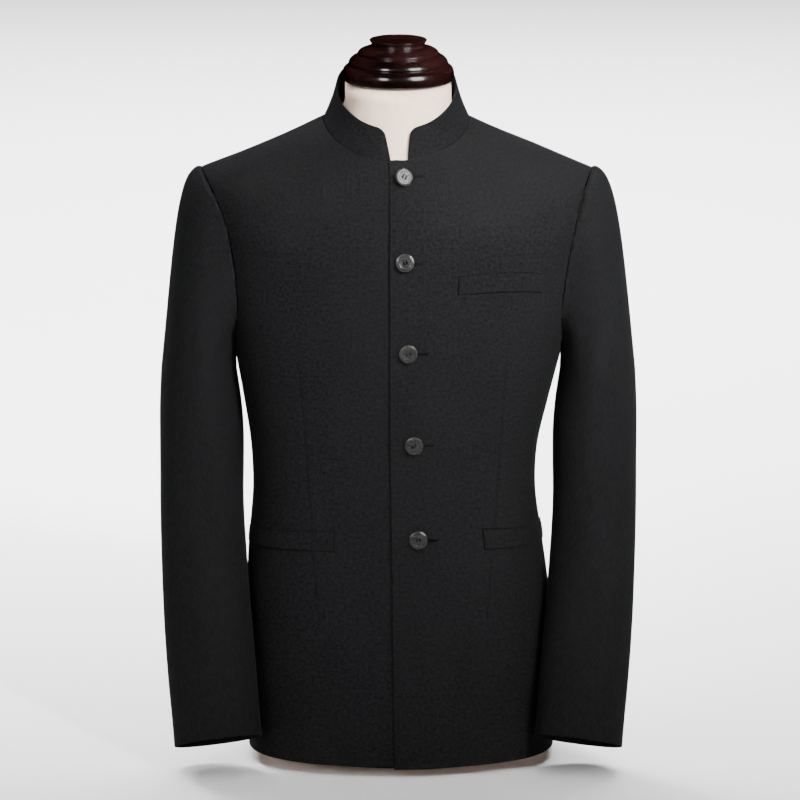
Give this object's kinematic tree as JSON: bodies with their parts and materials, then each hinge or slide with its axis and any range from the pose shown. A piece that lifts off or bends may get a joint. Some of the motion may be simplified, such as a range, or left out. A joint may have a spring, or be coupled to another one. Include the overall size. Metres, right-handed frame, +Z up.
{
  "type": "chinese tunic suit jacket on a dress form",
  "caption": "Black wool tunic jacket with a stand collar, buttoned down the front, worn by a limbless dress form with a turned dark wood neck cap.",
  "frame": {"origin": "on the surface the form stands on, under the middle of the whole part's box", "axes": "+X towards the wearer's left, -Y to the front, +Z up"},
  "size_m": [0.5206, 0.2514, 0.7954],
  "materials": {
    "suiting": "matte black wool suiting, fine twill",
    "button": "glossy dark grey",
    "form_cover": "matte cream linen cover",
    "turned_wood": "glossy dark red-brown lacquer"
  },
  "bodies": {
    "root": {"front_left": "suiting", "front_right": "suiting", "side_left": "suiting", "side_right": "suiting", "back_left": "suiting", "back_right": "suiting", "collar": "suiting", "sleeve_left_upper": "suiting", "sleeve_left_under": "suiting", "sleeve_right_upper": "suiting", "sleeve_right_under": "suiting", "chest_welt": "suiting", "pocket_welt_left": "suiting", "pocket_welt_right": "suiting", "button_1": "button", "button_2": "button", "button_3": "button", "button_4": "button", "button_5": "button", "form_torso": "form_cover", "neck_cap": "turned_wood", "form_base": "turned_wood"}
  },
  "joints": []
}
